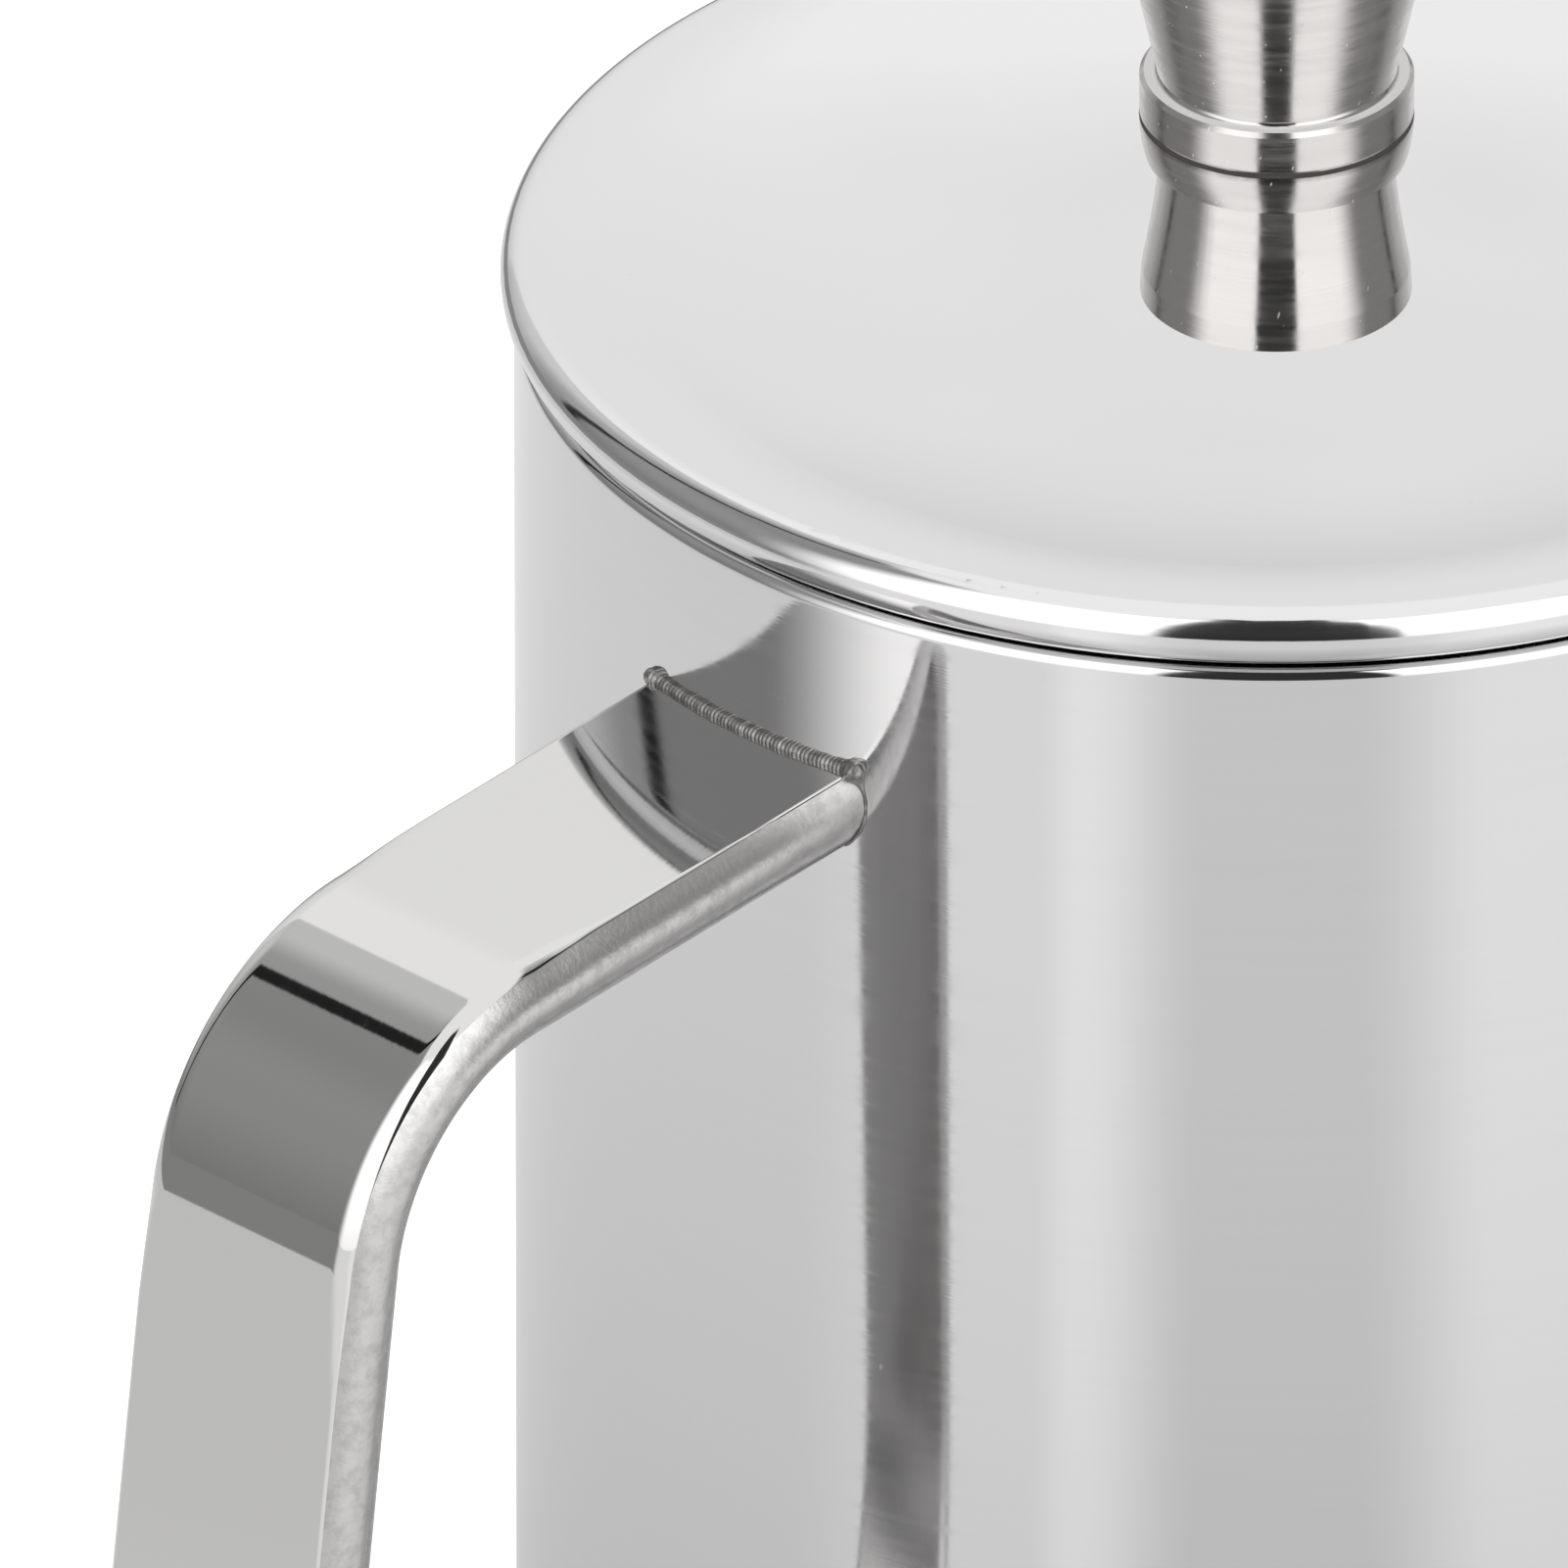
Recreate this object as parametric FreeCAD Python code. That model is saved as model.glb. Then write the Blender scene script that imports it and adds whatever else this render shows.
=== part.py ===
"""One-litre french press: a double-walled steel pot, a dished lid and a plunger.

Millimetres, +Z up.  The origin is the centre of the flat base.  The handle
points along -X and the pouring spout along +X.
"""
import FreeCAD, Part
import math
import os

V = FreeCAD.Vector
UP = V(0, 0, 1)
FULL_TURN = 360.0

# --- pot -----------------------------------------------------------------
pot_radius = 53.0            # outside of the outer wall
rim_height = 180.0           # top of the rolled rim above the base
wall = 0.7                   # sheet of both walls
wall_gap = 2.6               # air between the two walls
base_edge_radius = 3.0       # outside radius at the foot of the outer wall
base_lip = 5.0               # width of the flat lip turned in under the pot
base_thickness = 0.9
inner_floor = 9.0            # top of the beaker's floor above the base
floor_corner = 6.0           # inside radius at the foot of the beaker
vent_radius = 3.0            # sealing plug of the air space
vent_offset = 22.0
vent_thickness = 1.6
vent_head = 1.0              # head past the hole, inside the air space
weld_height = 0.7            # how far a weld bead stands off the wall
weld_width = 1.2

# --- handle --------------------------------------------------------------
handle_width = 19.1          # flat face, crease to crease
handle_thickness = 6.0
handle_bulge = 0.9           # how far the round sides stand past the face
handle_back_inset = 0.7      # back edge, in from the face edge
handle_sheet = 0.8
handle_bend = 21.0           # outside bend radius
handle_top_drop = 13.1       # top weld below the rim, on the outer face
handle_top_slope = 4.6       # degrees that the top arm falls outwards
handle_reach = 47.4          # from the pot wall to the top corner
handle_lean = 7.4            # degrees that the grip leans out as it goes down
handle_grip = 92.0           # height from the top corner to the bottom corner
handle_low_slope = 14.0      # degrees that the bottom arm falls towards the pot

# --- spout ---------------------------------------------------------------
spout_depth = 26.0           # from the rim down to the point of the beak
spout_reach = 16.0           # beak past the pot wall at the rim
spout_back_half = 15.95      # half width where the beak's sides start, at the rim
spout_tip_radius = 4.0
spout_root_half = 1.8        # the same two sizes at the foot of the beak
spout_root_tip = 1.2
spout_tip_least = 0.6        # sharpest inside fold
spout_root_reach = 0.8       # beak past the pot wall at its foot
spout_rim_drop = 0.4         # beak edge below the rim
spout_floor = 1.6            # metal closing the foot of the beak
spout_back = 5.2             # the sides start this far inside the beaker's wall

# --- lid -----------------------------------------------------------------
bead_radius = 2.1            # outside radius of the rolled edge
bead_overhang = 0.94         # bead past the pot wall
bead_curl = 235.0            # degrees that the sheet is rolled round
lid_sheet = 0.8
lid_dish = 3.4               # centre of the lid below the top of the bead
lid_flat_radius = 20.0       # flat middle of the dish
lid_turn_over = 6.84         # width of the stretch where the dish turns over into the bead
lid_seat_gap = 0.2           # lid bead above the pot rim
liner_sheet = 0.7
liner_clearance = 0.6        # lid skirt inside the beaker
liner_skirt = 16.0           # height of the skirt
liner_corner = 3.0
slot_count = 11              # strainer slots towards the spout
slot_pitch = 4.2             # degrees between slots
slot_width = 1.7
slot_height = 9.0
slot_rise = 2.6              # slots above the edge of the skirt

# --- ferrule on the lid --------------------------------------------------
ferrule_foot_radius = 9.46
ferrule_foot_height = 1.8    # nearly straight stretch above the foot
ferrule_foot_draft = 0.1
ferrule_waist_radius = 8.72
ferrule_waist_height = 5.4
ferrule_neck_radius = 8.1
ferrule_neck_height = 10.6   # foot to the neck under the collar
ferrule_collar_low = 9.1
ferrule_collar_radius = 9.56
ferrule_collar_draft = 0.15
ferrule_collar_swell = 0.1
ferrule_height = 13.75
shank_wall = 0.95            # threaded spigot through the lid, round the bush
shank_length = 7.6
thread_gap = 0.03            # screwed and seated fits within one body
washer_radius = 8.6
washer_thickness = 1.0
nut_across_flats = 15.0
nut_height = 4.0
nut_chamfer = 0.6

# --- guide bush and plunger rod ------------------------------------------
rod_radius = 2.5
rod_chamfer = 0.5
rod_clearance = 0.05         # rod in bush, radial
bush_wall = 1.45
bush_clearance = 0.05        # bush in ferrule, radial
bush_flange_step = 1.6       # flange past the bush
bush_flange = 0.9
bush_recess = 0.25           # flange below the top of the ferrule

# --- knob ----------------------------------------------------------------
knob_gap = 0.15              # knob above the ferrule, plunger down
band_radius = 9.55
band_height = 3.3
band_chamfer = 0.3
knob_ledge = 0.85            # flat step between band and cone
knob_root_radius = 8.35
knob_flare = 12.4            # degrees of the cone's side
knob_height = 27.4
knob_top_round = 3.4
knob_crown_radius = 60.0
knob_bore_depth = 18.0

# --- filter pack ---------------------------------------------------------
filter_floor_gap = 4.0       # hub above the beaker's floor
hub_wall = 3.5               # boss of the hub round the rod
hub_under = 2.6              # hub below the cross plate
hub_flange = 1.4             # flange of the hub past its boss
cross_sheet = 1.0
cross_inset = 5.1            # cross plate in from the edge of the mesh
cross_hub_disc = 11.0        # solid middle of the cross plate
cross_rim_width = 4.0
cross_spokes = 4
cross_spoke_width = 7.0
mesh_sheet = 0.4
mesh_wall_gap = 0.3          # turned-up mesh to the beaker wall
mesh_edge_height = 4.4
spring_radius = 1.5          # radius of the coil round the plate
spring_clearance = 0.3       # coil to the pieces round it
top_sheet = 0.8
hole_radius = 2.1
hole_first_ring = 13.0
hole_ring_pitch = 7.4
hole_pitch = 7.6             # distance between holes along a ring
hole_margin = 7.0            # least from the middle of a hole to the edge of the plate
collar_radius = 5.2
collar_height = 6.0
collar_chamfer = 1.0

# --- places worked out from the sizes above --------------------------------
inner_wall_outside = pot_radius - wall - wall_gap
beaker_radius = inner_wall_outside - wall
rim_round = (pot_radius - beaker_radius) / 2
rim_centre = pot_radius - rim_round
bead_centre = pot_radius + bead_overhang - bead_radius
lid_inflection = bead_centre - lid_turn_over
bead_rise = math.sqrt((bead_radius + rim_round + lid_seat_gap) ** 2 - (bead_centre - rim_centre) ** 2)
bead_z = rim_height - rim_round + bead_rise
lid_top = bead_z + bead_radius - lid_dish
lid_under = lid_top - lid_sheet
ferrule_top = lid_top + ferrule_height
knob_bottom = ferrule_top + knob_gap
bush_radius = rod_radius + rod_clearance + bush_wall
bush_flange_radius = bush_radius + bush_flange_step
shank_radius = bush_radius + bush_clearance + shank_wall
hub_radius = rod_radius + hub_wall
mesh_radius = beaker_radius - mesh_wall_gap
spring_centre = mesh_radius - mesh_sheet - spring_clearance - spring_radius
top_plate_radius = spring_centre - spring_radius - spring_clearance
cross_radius = mesh_radius - cross_inset
hole_rings = 1 + int((top_plate_radius - hole_margin - hole_first_ring) / hole_ring_pitch)
cross_bottom = inner_floor + filter_floor_gap + hub_under
mesh_bottom = cross_bottom + cross_sheet
top_plate_bottom = mesh_bottom + mesh_sheet
top_plate_top = top_plate_bottom + top_sheet
hub_bottom = inner_floor + filter_floor_gap
overshoot = 1.0              # how far a cutting shape passes a face


def cylinder(radius, low, high):
    return Part.makeCylinder(radius, high - low, V(0, 0, low))


def ring(outer, inner, low, high):
    return cylinder(outer, low, high).cut(cylinder(inner, low - overshoot, high + overshoot))


def line(a, b):
    return Part.LineSegment(a, b).toShape()


def arc(a, mid, b):
    return Part.Arc(a, mid, b).toShape()


def on_circle(centre, radius, degrees):
    """Point on a circle in the XZ plane, 0 degrees along +X and 90 along +Z."""
    a = math.radians(degrees)
    return V(centre.x + radius * math.cos(a), 0, centre.z + radius * math.sin(a))


def circle_arc(centre, radius, start, end):
    middle = (start + end) / 2
    points = [on_circle(centre, radius, a) for a in (start, middle, end)]
    return arc(*points)


def revolve(edges):
    """Solid of revolution of a closed outline in the XZ plane, about Z."""
    face = Part.Face(Part.Wire(Part.__sortEdges__(edges)))
    solid = face.revolve(V(0, 0, 0), UP, FULL_TURN)
    return solid if solid.Volume > 0 else solid.reversed()


def outline(points):
    """Straight edges through a closed list of (radius, height) points."""
    corners = [V(r, 0, z) for r, z in points]
    return [line(a, b) for a, b in zip(corners, corners[1:] + corners[:1])]


def turned(points):
    return revolve(outline(points))


def outer_shell():
    """Drawn tube with its foot turned in to a flat lip."""
    corner = V(pot_radius - base_edge_radius, 0, base_edge_radius)
    top = rim_height - rim_round
    lip = corner.x - base_lip
    inside = base_edge_radius - wall
    edges = [line(V(pot_radius, 0, top), V(pot_radius, 0, corner.z)),
             circle_arc(corner, base_edge_radius, 0, -90),
             line(V(corner.x, 0, 0), V(lip, 0, 0)),
             line(V(lip, 0, 0), V(lip, 0, wall)),
             line(V(lip, 0, wall), V(corner.x, 0, wall)),
             circle_arc(corner, inside, -90, 0),
             line(V(pot_radius - wall, 0, corner.z), V(pot_radius - wall, 0, top)),
             line(V(pot_radius - wall, 0, top), V(pot_radius, 0, top))]
    return revolve(edges).cut(spout_wedge(0, 0))


def inner_shell():
    """Drawn beaker whose top is rolled over to meet the outer wall."""
    corner = V(beaker_radius - floor_corner, 0, inner_floor + floor_corner)
    rim = V(rim_centre, 0, rim_height - rim_round)
    rolled = rim_round - wall
    edges = [line(V(0, 0, inner_floor), V(corner.x, 0, inner_floor)),
             circle_arc(corner, floor_corner, -90, 0),
             line(V(beaker_radius, 0, corner.z), V(beaker_radius, 0, rim.z)),
             circle_arc(rim, rim_round, 180, 0),
             line(V(pot_radius, 0, rim.z), V(pot_radius - wall, 0, rim.z)),
             circle_arc(rim, rolled, 0, 180),
             line(V(inner_wall_outside, 0, rim.z), V(inner_wall_outside, 0, corner.z)),
             circle_arc(corner, floor_corner + wall, 0, -90),
             line(V(corner.x, 0, inner_floor - wall), V(0, 0, inner_floor - wall)),
             line(V(0, 0, inner_floor - wall), V(0, 0, inner_floor))]
    return revolve(edges).cut(spout_wedge(0, 0))


def base_plate():
    """Disc welded into the lip under the pot; its lower face is the rest face."""
    radius = pot_radius - base_edge_radius - base_lip
    hole = Part.makeCylinder(vent_radius, base_thickness + 2 * overshoot, V(vent_offset, 0, -overshoot))
    return cylinder(radius, 0, base_thickness).cut(hole)


def base_vent_plug():
    """Flush plug that seals the air space, with a wider head inside."""
    head = Part.makeCylinder(vent_radius + vent_head, vent_thickness - base_thickness,
                             V(vent_offset, 0, base_thickness))
    return Part.makeCylinder(vent_radius, base_thickness, V(vent_offset, 0, 0)).fuse(head).removeSplitter()


def beak_wire(z, back_half, tip_x, tip_radius):
    """Outline of the beak at one height: two flat sides tangent to a round tip."""
    centre = V(tip_x - tip_radius, 0, z)
    back_x = beaker_radius - spout_back
    back = V(back_x, back_half, z)
    away = back - centre
    turn = math.atan2(away.y, away.x) - math.acos(tip_radius / away.Length)
    touch = centre + V(tip_radius * math.cos(turn), tip_radius * math.sin(turn), 0)
    nose = V(tip_x, 0, z)
    edges = [line(back, touch),
             arc(touch, nose, V(touch.x, -touch.y, z)),
             line(V(touch.x, -touch.y, z), V(back_x, -back_half, z)),
             line(V(back_x, -back_half, z), back)]
    return Part.Wire(edges)


def spout_wedge(inset, lift):
    """Solid beak, all its sides moved in by inset and its foot up by lift."""
    foot = rim_height - spout_depth
    over_rim = rim_height + 2 * overshoot

    def section(z):
        t = (z - foot) / spout_depth
        half = spout_root_half + t * (spout_back_half - spout_root_half)
        tip_x = pot_radius + spout_root_reach + t * (spout_reach - spout_root_reach)
        tip_radius = spout_root_tip + t * (spout_tip_radius - spout_root_tip)
        return beak_wire(z, half - inset, tip_x - inset, max(tip_radius - inset, spout_tip_least))

    return Part.makeLoft([section(foot + lift), section(over_rim)], True, True)


def spout():
    """Folded sheet beak that lines the notch in both walls and pours at its tip."""
    sheet = spout_wedge(0, 0).cut(spout_wedge(wall, spout_floor))
    low = rim_height - spout_depth - overshoot
    high = rim_height - spout_rim_drop
    far = pot_radius + spout_reach + overshoot
    return sheet.common(ring(far, beaker_radius, low, high))


def spout_weld():
    """Weld bead round the beak on the outer wall."""
    low = rim_height - spout_depth - 2 * weld_width
    high = rim_height - rim_round
    around = spout_wedge(-weld_width, -weld_width).cut(spout_wedge(0, 0))
    return around.common(ring(pot_radius + weld_height, pot_radius, low, high))


def handle_points():
    """Corners of the handle's outer face, from inside the top weld to inside the low weld."""
    top_tan = math.tan(math.radians(handle_top_slope))
    low_tan = math.tan(math.radians(handle_low_slope))
    weld = V(-pot_radius, 0, rim_height - handle_top_drop)
    start = weld + V(handle_thickness, 0, handle_thickness * top_tan)
    corner = weld + V(-handle_reach, 0, -handle_reach * top_tan)
    lean = handle_grip * math.tan(math.radians(handle_lean))
    low = corner + V(-lean, 0, -handle_grip)
    run = -low.x - pot_radius + handle_thickness
    end = low + V(run, 0, -run * low_tan)
    return [start, corner, low, end]


def rounded_path(points, radius):
    """Straight runs joined by tangent arcs of one radius, in the XZ plane."""
    edges = []
    here = points[0]
    for before, corner, after in zip(points, points[1:], points[2:]):
        back = (before - corner).normalize()
        on = (after - corner).normalize()
        half = back.getAngle(on) / 2
        reach = radius / math.tan(half)
        middle = (back + on).normalize()
        centre = corner + middle * (radius / math.sin(half))
        first = corner + back * reach
        last = corner + on * reach
        edges.append(line(here, first))
        edges.append(arc(first, centre - middle * radius, last))
        here = last
    edges.append(line(here, points[-1]))
    return Part.Wire(edges)


def strap_end(low):
    """Where one end of the strap starts, its direction, and the way to its back face."""
    points = handle_points()
    start, toward = (points[3], points[2]) if low else (points[0], points[1])
    along = (toward - start).normalize()
    back = V(along.z, 0, -along.x) if low else V(-along.z, 0, along.x)
    return start, along, back


def strap_section(inset, low=False):
    """Handle section: flat face, bulging sides, flat back; moved in by inset."""
    start, along, back = strap_end(low)
    face_half = handle_width / 2 - inset
    back_half = face_half - handle_back_inset
    bulge = face_half + handle_bulge
    behind = handle_thickness - inset

    def at(u, v):
        return start + V(0, u, 0) + back * v

    middle = (inset + behind) / 2
    edges = [line(at(-face_half, inset), at(face_half, inset)),
             arc(at(face_half, inset), at(bulge, middle), at(back_half, behind)),
             line(at(back_half, behind), at(-back_half, behind)),
             arc(at(-back_half, behind), at(-bulge, middle), at(-face_half, inset))]
    return Part.Wire(edges)


def strip_section():
    """Section of the flat face strip alone."""
    start, along, back = strap_end(False)
    half = handle_width / 2
    corners = [start + V(0, u, 0) + back * v
               for u, v in ((-half, 0), (half, 0), (half, handle_sheet), (-half, handle_sheet))]
    return Part.makePolygon(corners + corners[:1])


def swept(section):
    path = rounded_path(handle_points(), handle_bend)
    return path.makePipeShell([section], True, False)


def outside_pot(shape):
    return shape.cut(cylinder(pot_radius, -overshoot, rim_height + overshoot))


def handle_face():
    """Polished strip that closes the front of the hollow handle."""
    return outside_pot(swept(strip_section()))


def handle_channel():
    """Pressed channel: the round sides and the back of the hollow handle."""
    body = swept(strap_section(0)).cut(swept(strap_section(handle_sheet)))
    return outside_pot(body.cut(swept(strip_section())))


def handle_weld(low):
    """Weld bead round one end of the strap, where it meets the pot wall."""
    start, along, back = strap_end(low)
    block = Part.Face(strap_section(-weld_width, low)).extrude(along * (3 * handle_thickness))
    band = ring(pot_radius + weld_height, pot_radius, overshoot, rim_height - rim_round)
    return block.common(band).cut(swept(strap_section(0)))


def handle_weld_upper():
    return handle_weld(False)


def handle_weld_lower():
    return handle_weld(True)


def sheet_outline(edges_out, edges_in):
    """Closed outline from an outside and an inside run of edges, joined at both ends."""
    first = line(edges_out[0].Vertexes[0].Point, edges_in[0].Vertexes[0].Point)
    last = line(edges_out[-1].Vertexes[-1].Point, edges_in[-1].Vertexes[-1].Point)
    return edges_out + edges_in + [first, last]


def lid_run(offset):
    """The lid's sheet from hole to curled edge: flat, dish, turn-over and bead."""
    hole = shank_radius + thread_gap
    reach = bead_centre - lid_flat_radius
    slope = 2 * math.atan(lid_dish / reach)
    dish_radius = (lid_inflection - lid_flat_radius) / math.sin(slope)
    over_radius = (bead_centre - lid_inflection) / math.sin(slope)
    tilt = math.degrees(slope)
    dish = V(lid_flat_radius, 0, lid_top + dish_radius)
    over = V(bead_centre, 0, lid_top + lid_dish - over_radius)
    bead = V(bead_centre, 0, bead_z)
    start = 90 - bead_curl
    return [line(V(hole, 0, lid_top - offset), V(lid_flat_radius, 0, lid_top - offset)),
            circle_arc(dish, dish_radius + offset, -90, -90 + tilt),
            circle_arc(over, over_radius - offset, 90 + tilt, 90),
            circle_arc(bead, bead_radius - offset, 90, start)]


def lid_shell():
    """Pressed lid: a shallow dish with a rolled bead round its edge."""
    return revolve(sheet_outline(lid_run(0), lid_run(lid_sheet)))


def lid_liner():
    """Pan under the lid whose skirt fits the beaker and strains at the spout."""
    outside = beaker_radius - liner_clearance
    inside = outside - liner_sheet
    low = lid_under - liner_skirt
    hole = shank_radius + thread_gap
    corner = V(outside - liner_corner, 0, lid_under - liner_corner)
    edges = [line(V(hole, 0, lid_under), V(corner.x, 0, lid_under)),
             circle_arc(corner, liner_corner, 90, 0),
             line(V(outside, 0, corner.z), V(outside, 0, low)),
             line(V(outside, 0, low), V(inside, 0, low)),
             line(V(inside, 0, low), V(inside, 0, corner.z)),
             circle_arc(corner, liner_corner - liner_sheet, 0, 90),
             line(V(corner.x, 0, lid_under - liner_sheet), V(hole, 0, lid_under - liner_sheet)),
             line(V(hole, 0, lid_under - liner_sheet), V(hole, 0, lid_under))]
    pan = revolve(edges)
    for index in range(slot_count):
        angle = (index - (slot_count - 1) / 2) * slot_pitch
        slot = Part.makeBox(pot_radius, slot_width, slot_height, V(0, -slot_width / 2, low + slot_rise))
        slot.rotate(V(0, 0, 0), UP, angle)
        pan = pan.cut(slot)
    return pan


def ferrule():
    """Turned sleeve on the lid: waisted skirt, collar, and a threaded shank below."""
    neck = lid_top + ferrule_neck_height
    bore = bush_radius + bush_clearance
    seat_radius = bush_flange_radius + bush_clearance
    seat = ferrule_top - bush_recess - bush_flange
    bottom = lid_top - shank_length
    foot = V(ferrule_foot_radius, 0, lid_top)
    above_foot = V(ferrule_foot_radius - ferrule_foot_draft, 0, lid_top + ferrule_foot_height)
    waist = V(ferrule_waist_radius, 0, lid_top + ferrule_waist_height)
    throat = V(ferrule_neck_radius, 0, neck)
    collar_edge = V(ferrule_collar_low, 0, neck + ferrule_collar_draft)
    collar_middle = V((ferrule_collar_low + ferrule_collar_radius) / 2 + ferrule_collar_swell, 0,
                      (neck + ferrule_top) / 2)
    collar_top = V(ferrule_collar_radius, 0, ferrule_top)
    edges = [line(foot, above_foot),
             arc(above_foot, waist, throat),
             line(throat, collar_edge),
             arc(collar_edge, collar_middle, collar_top),
             line(collar_top, V(seat_radius, 0, ferrule_top)),
             line(V(seat_radius, 0, ferrule_top), V(seat_radius, 0, seat)),
             line(V(seat_radius, 0, seat), V(bore, 0, seat)),
             line(V(bore, 0, seat), V(bore, 0, bottom)),
             line(V(bore, 0, bottom), V(shank_radius, 0, bottom)),
             line(V(shank_radius, 0, bottom), V(shank_radius, 0, lid_top)),
             line(V(shank_radius, 0, lid_top), foot)]
    return revolve(edges)


def ferrule_washer():
    high = lid_under - liner_sheet
    return ring(washer_radius, shank_radius + thread_gap, high - washer_thickness, high)


def ferrule_nut():
    """Thin hexagon nut that clamps the ferrule, lid and liner together."""
    high = lid_under - liner_sheet - washer_thickness
    low = high - nut_height
    corner = nut_across_flats / math.sqrt(3)
    turns = [math.radians(60 * k) for k in range(7)]
    points = [V(corner * math.cos(a), corner * math.sin(a), high) for a in turns]
    blank = Part.Face(Part.makePolygon(points)).extrude(V(0, 0, -nut_height))
    rounded = turned([(0, high), (corner - nut_chamfer, high), (corner, high - nut_chamfer),
                      (corner, low + nut_chamfer), (corner - nut_chamfer, low), (0, low)])
    return blank.common(rounded).cut(cylinder(shank_radius + thread_gap, low - overshoot, high + overshoot))


def guide_bush():
    """Flanged plastic bush in the ferrule that guides the rod."""
    flange_high = ferrule_top - bush_recess
    flange_low = flange_high - bush_flange + bush_clearance
    bottom = lid_top - shank_length
    bore = rod_radius + rod_clearance
    return turned([(bore, bottom), (bush_radius, bottom), (bush_radius, flange_low),
                   (bush_flange_radius, flange_low), (bush_flange_radius, flange_high),
                   (bore, flange_high)])


def knob_top_outline(start, top):
    """Cone side, tangent round and shallow crown, from start up to the axis."""
    flare = math.radians(knob_flare)
    side = V(math.sin(flare), 0, math.cos(flare))
    inward = V(-math.cos(flare), 0, math.sin(flare))
    crown_centre = V(0, 0, top - knob_crown_radius)
    base = start + inward * knob_top_round - crown_centre
    reach = knob_crown_radius - knob_top_round
    along = base.dot(side)
    travel = -along + math.sqrt(along ** 2 - base.dot(base) + reach ** 2)
    centre = crown_centre + base + side * travel
    shoulder = centre - inward * knob_top_round
    outward = (centre - crown_centre).normalize()
    brow = crown_centre + outward * knob_crown_radius
    between = (outward - inward).normalize()
    half = math.atan2(outward.x, outward.z) / 2
    middle = crown_centre + V(math.sin(half), 0, math.cos(half)) * knob_crown_radius
    return [line(start, shoulder),
            arc(shoulder, centre + between * knob_top_round, brow),
            arc(brow, middle, V(0, 0, top))]


def knob():
    """Turned knob: a band, a small step and a flared cone with a crowned top."""
    band_top = knob_bottom + band_height
    top = knob_bottom + knob_height
    ledge = band_radius - knob_ledge
    bore = rod_radius + thread_gap
    bore_end = knob_bottom + knob_bore_depth
    fillet = ledge - knob_root_radius
    root = V(knob_root_radius, 0, band_top + fillet)
    hollow = V(ledge, 0, band_top + fillet)
    face = band_radius - band_chamfer
    band = [(0, top), (0, bore_end), (bore, bore_end), (bore, knob_bottom), (face, knob_bottom),
            (band_radius, knob_bottom + band_chamfer), (band_radius, band_top - band_chamfer),
            (face, band_top), (ledge, band_top)]
    edges = outline(band)[:-1]
    edges.append(circle_arc(hollow, fillet, -90, -180))
    return revolve(edges + knob_top_outline(root, top))


def plunger_rod():
    high = knob_bottom + knob_bore_depth - rod_clearance
    return turned([(0, hub_bottom), (rod_radius - rod_chamfer, hub_bottom),
                   (rod_radius, hub_bottom + rod_chamfer), (rod_radius, high - rod_chamfer),
                   (rod_radius - rod_chamfer, high), (0, high)])


def rod_collar():
    """Round stop nut that holds the filter pack down on the rod."""
    bore = rod_radius + thread_gap
    high = top_plate_top + collar_height
    return turned([(bore, top_plate_top), (collar_radius, top_plate_top),
                   (collar_radius, high - collar_chamfer),
                   (collar_radius - collar_chamfer, high), (bore, high)])


def top_plate():
    """Perforated plate that carries the rim spring."""
    plate = ring(top_plate_radius, rod_radius + thread_gap, top_plate_bottom, top_plate_top)
    for row in range(hole_rings):
        radius = hole_first_ring + row * hole_ring_pitch
        count = int(2 * math.pi * radius / hole_pitch)
        cutters = []
        for k in range(count):
            a = 2 * math.pi * k / count + row
            cutters.append(Part.makeCylinder(hole_radius, top_sheet + 2 * overshoot,
                                             V(radius * math.cos(a), radius * math.sin(a),
                                               top_plate_bottom - overshoot)))
        plate = plate.cut(Part.makeCompound(cutters))
    return plate


def filter_mesh():
    """Woven steel disc with its edge turned up round the spring."""
    bore = rod_radius + thread_gap
    high = mesh_bottom + mesh_edge_height
    inside = mesh_radius - mesh_sheet
    return turned([(bore, mesh_bottom), (mesh_radius, mesh_bottom), (mesh_radius, high), (inside, high),
                   (inside, mesh_bottom + mesh_sheet), (bore, mesh_bottom + mesh_sheet)])


def rim_spring():
    """Coil spring bent into a ring, held as the tube that it fills."""
    height = top_plate_bottom + spring_clearance + spring_radius
    return Part.makeTorus(spring_centre, spring_radius, V(0, 0, height))


def cross_plate():
    """Pressed wheel under the mesh: rim, spokes and a solid middle."""
    high = mesh_bottom
    plate = ring(cross_radius, hub_radius + thread_gap, cross_bottom, high)
    window = ring(cross_radius - cross_rim_width, cross_hub_disc, cross_bottom - overshoot, high + overshoot)
    for k in range(cross_spokes):
        spoke = Part.makeBox(cross_radius, cross_spoke_width, 4 * overshoot,
                             V(0, -cross_spoke_width / 2, cross_bottom - overshoot))
        spoke.rotate(V(0, 0, 0), UP, FULL_TURN / cross_spokes * (k + 0.5))
        window = window.cut(spoke)
    return plate.cut(window)


def cross_hub():
    """Threaded boss in the cross plate that the rod screws into."""
    bore = rod_radius + thread_gap
    flange = hub_radius + hub_flange
    return turned([(bore, hub_bottom), (flange, hub_bottom), (flange, cross_bottom),
                   (hub_radius, cross_bottom), (hub_radius, mesh_bottom), (bore, mesh_bottom)])


PIECES = [outer_shell, inner_shell, base_plate, base_vent_plug, spout, spout_weld,
          handle_face, handle_channel, handle_weld_upper, handle_weld_lower,
          lid_shell, lid_liner, ferrule, ferrule_washer, ferrule_nut, guide_bush,
          knob, plunger_rod, rod_collar, top_plate, rim_spring, filter_mesh, cross_plate, cross_hub]

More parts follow.
